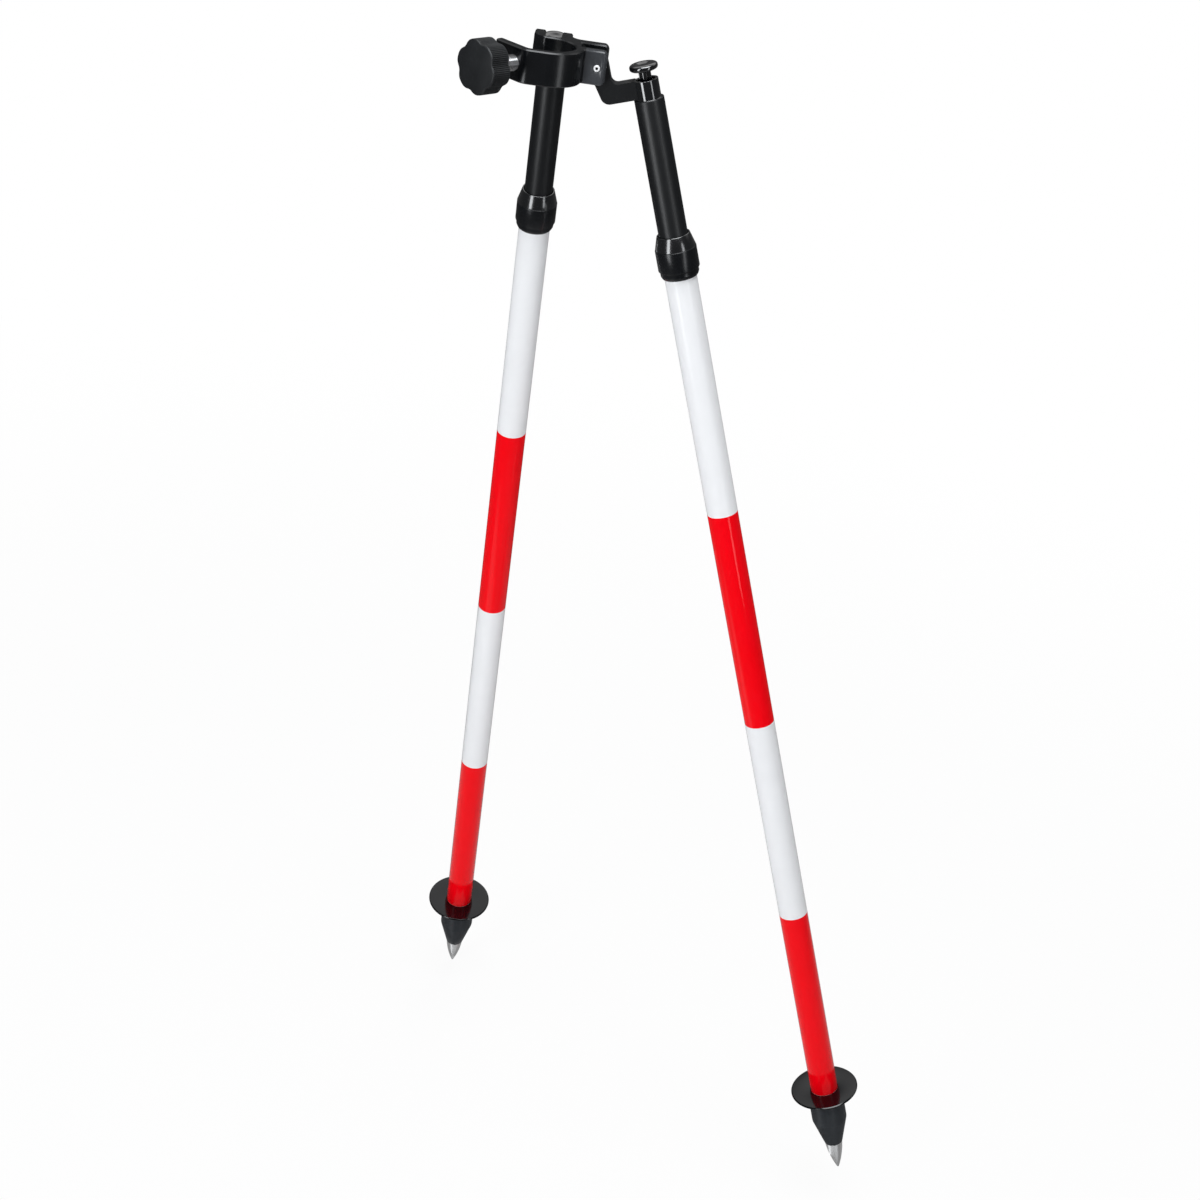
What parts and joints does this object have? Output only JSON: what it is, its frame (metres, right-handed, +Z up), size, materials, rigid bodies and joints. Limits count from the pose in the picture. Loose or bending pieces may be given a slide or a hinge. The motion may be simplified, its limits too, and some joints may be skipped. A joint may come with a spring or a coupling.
{
  "type": "prism pole bipod",
  "caption": "Surveying pole bipod: open side-entry pole clamp with a lobed hand screw, hinged telescopic legs with thumb-release brakes, banded tubes, foot plates and steel points.",
  "frame": {"origin": "centre of the pole seat, on the pole's axis at the clamp's middle height", "axes": "+Z up the pole, +X towards the right leg's clevis, +Y towards the left leg's clevis"},
  "size_m": [0.465, 0.3636, 1.0634],
  "materials": {
    "satin_black": "satin black anodised",
    "gloss_black": "gloss",
    "black_plastic": "matte moulded",
    "silver": "bright zinc plated",
    "steel": "turned",
    "nylon": "natural nylon",
    "brass": "turned",
    "banded_paint": "red and white gloss enamel bands"
  },
  "bodies": {
    "clamp": {"clamp_body": "satin_black", "right_pivot_pin": "silver", "right_front_washer": "nylon", "right_back_washer": "nylon", "left_pivot_pin": "silver", "left_front_washer": "nylon", "left_back_washer": "nylon"},
    "pressure_pad": {"clamp_pad": "nylon"},
    "knob": {"clamp_knob": "black_plastic", "clamp_screw": "silver"},
    "right_upper": {"right_link": "satin_black", "right_top_plug": "gloss_black", "right_upper_tube": "satin_black", "right_return_spring": "steel", "right_spring_seat": "steel", "right_brake_collet": "nylon"},
    "right_button": {"right_thumb_button": "black_plastic", "right_push_rod": "steel", "right_brake_cone": "brass"},
    "right_lower": {"right_lower_tube": "banded_paint", "right_collar_sleeve": "satin_black", "right_collar_cap": "gloss_black", "right_guide_bush": "nylon", "right_foot_plate": "satin_black", "right_foot_socket": "black_plastic", "right_foot_point": "steel"},
    "left_upper": {"left_link": "satin_black", "left_top_plug": "gloss_black", "left_upper_tube": "satin_black", "left_return_spring": "steel", "left_spring_seat": "steel", "left_brake_collet": "nylon"},
    "left_button": {"left_thumb_button": "black_plastic", "left_push_rod": "steel", "left_brake_cone": "brass"},
    "left_lower": {"left_lower_tube": "banded_paint", "left_collar_sleeve": "satin_black", "left_collar_cap": "gloss_black", "left_guide_bush": "nylon", "left_foot_plate": "satin_black", "left_foot_socket": "black_plastic", "left_foot_point": "steel"}
  },
  "joints": [
    {"name": "pad_slide", "type": "slide", "parent": "clamp", "child": "pressure_pad", "axis": [0.6691, 0.7431, 0], "range_m": [0, 0.016]},
    {"name": "knob_turn", "type": "hinge", "parent": "pressure_pad", "child": "knob", "pos_m": [-0.00372, 0.00335, 0], "axis": [0.6691, 0.7431, 0], "range_deg": [0, 3292]},
    {"name": "right_leg_swing", "type": "hinge", "parent": "clamp", "child": "right_upper", "pos_m": [0.037, 0.0126, 0], "axis": [0, -1, 0], "range_deg": [-18, 22]},
    {"name": "right_button_press", "type": "slide", "parent": "right_upper", "child": "right_button", "axis": [0.309, 0, -0.9511], "range_m": [0, 0.006], "stiffness_N_per_m": 1000, "springref_m": -0.01, "deforming": ["right_return_spring"]},
    {"name": "right_leg_slide", "type": "slide", "parent": "right_upper", "child": "right_lower", "axis": [0.309, 0, -0.9511], "range_m": [0, 0.7]},
    {"name": "left_leg_swing", "type": "hinge", "parent": "clamp", "child": "left_upper", "pos_m": [0.001, 0.037, 0], "axis": [1, 0, 0], "range_deg": [-12, 28]},
    {"name": "left_button_press", "type": "slide", "parent": "left_upper", "child": "left_button", "axis": [0, 0.2079, -0.9781], "range_m": [0, 0.006], "stiffness_N_per_m": 1000, "springref_m": -0.01, "deforming": ["left_return_spring"]},
    {"name": "left_leg_slide", "type": "slide", "parent": "left_upper", "child": "left_lower", "axis": [0, 0.2079, -0.9781], "range_m": [0, 0.7]}
  ],
  "couplings": [
    {"joint": "knob_turn", "follows": "pad_slide", "rad_per_m": 3590.4}
  ]
}
